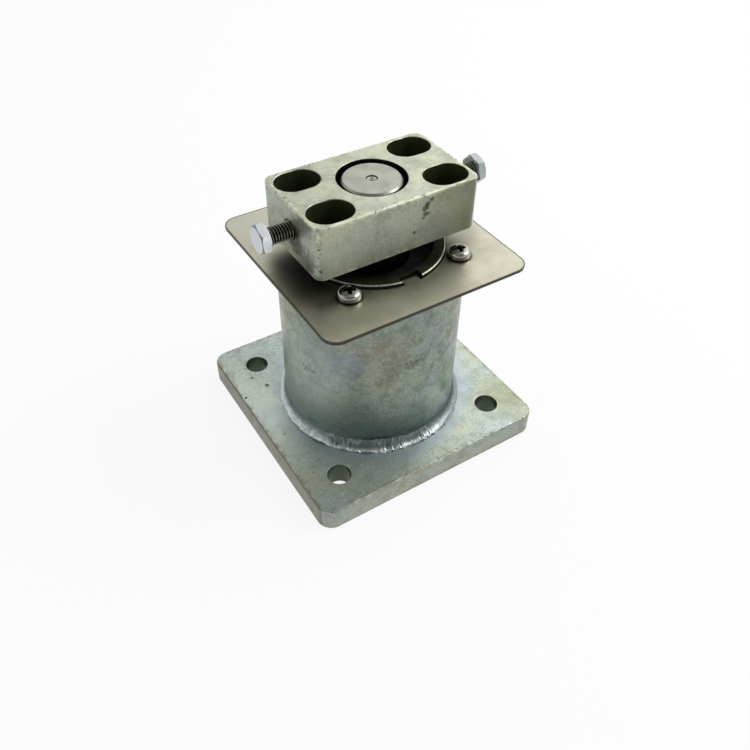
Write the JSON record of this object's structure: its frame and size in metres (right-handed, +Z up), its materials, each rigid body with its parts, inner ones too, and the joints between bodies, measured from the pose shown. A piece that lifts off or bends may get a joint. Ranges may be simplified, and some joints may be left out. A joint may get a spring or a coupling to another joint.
{
  "type": "floor pivot hinge",
  "caption": "Heavy floor pivot for a large door: a floor plate with a welded bearing tube and cover, and a slotted block on a spindle that swings with the door.",
  "frame": {"origin": "middle of the floor plate's underside, on the spindle's axis", "axes": "+Z up along the spindle, +X along the door block's length"},
  "size_m": [0.12, 0.12, 0.132],
  "materials": {
    "zinc_steel": "zinc plated, mottled satin",
    "weld_steel": "bare weld bead, plated, rippled",
    "cover_steel": "fine matt stainless sheet",
    "bright_screw": "bright stainless",
    "ring_steel": "turned steel",
    "bolt_zinc": "bright blue-white zinc",
    "spindle_steel": "turned steel, satin",
    "bearing_steel": "ground bearing steel",
    "cage_brass": "turned brass",
    "cage_steel": "pressed steel",
    "spring_steel": "spring wire",
    "seal_rubber": "matt black rubber"
  },
  "bodies": {
    "housing": {"base_plate": "zinc_steel", "housing_tube": "zinc_steel", "base_weld": "weld_steel", "cover_plate": "cover_steel", "cover_screws": "bright_screw", "lock_ring": "ring_steel", "shaft_seal": "seal_rubber", "seal_spring": "spring_steel", "upper_bearing_outer_ring": "bearing_steel", "bearing_spacer": "ring_steel", "lower_bearing_cup": "bearing_steel", "bearing_seat": "ring_steel"},
    "rotor": {"spindle": "spindle_steel", "drive_key": "ring_steel", "snap_ring": "spring_steel", "door_block": "zinc_steel", "upper_bearing_inner_ring": "bearing_steel", "lower_bearing_cone": "bearing_steel"},
    "upper_cage": {"upper_bearing_balls": "bearing_steel", "upper_bearing_cage": "cage_brass"},
    "lower_cage": {"lower_bearing_rollers": "bearing_steel", "lower_bearing_cage": "cage_steel"},
    "jack_left": {"jack_bolt_left": "bolt_zinc"},
    "jack_right": {"jack_bolt_right": "bolt_zinc"}
  },
  "joints": [
    {"name": "door_swing", "type": "hinge", "parent": "housing", "child": "rotor", "pos_m": [0, 0, 0.1], "axis": [0, 0, 1], "continuous": true},
    {"name": "upper_cage_roll", "type": "hinge", "parent": "housing", "child": "upper_cage", "pos_m": [0, 0, 0.078], "axis": [0, 0, 1], "continuous": true},
    {"name": "lower_cage_roll", "type": "hinge", "parent": "housing", "child": "lower_cage", "pos_m": [0, 0, 0.0275], "axis": [0, 0, 1], "continuous": true},
    {"name": "jack_left_travel", "type": "slide", "parent": "rotor", "child": "jack_left", "axis": [-1, 0, 0], "range_m": [-0.0099, 0.0056]},
    {"name": "jack_right_travel", "type": "slide", "parent": "rotor", "child": "jack_right", "axis": [1, 0, 0], "range_m": [-0.0127, 0.0028]}
  ],
  "couplings": [
    {"joint": "upper_cage_roll", "follows": "door_swing", "ratio": 0.3967},
    {"joint": "lower_cage_roll", "follows": "door_swing", "ratio": 0.4172}
  ]
}
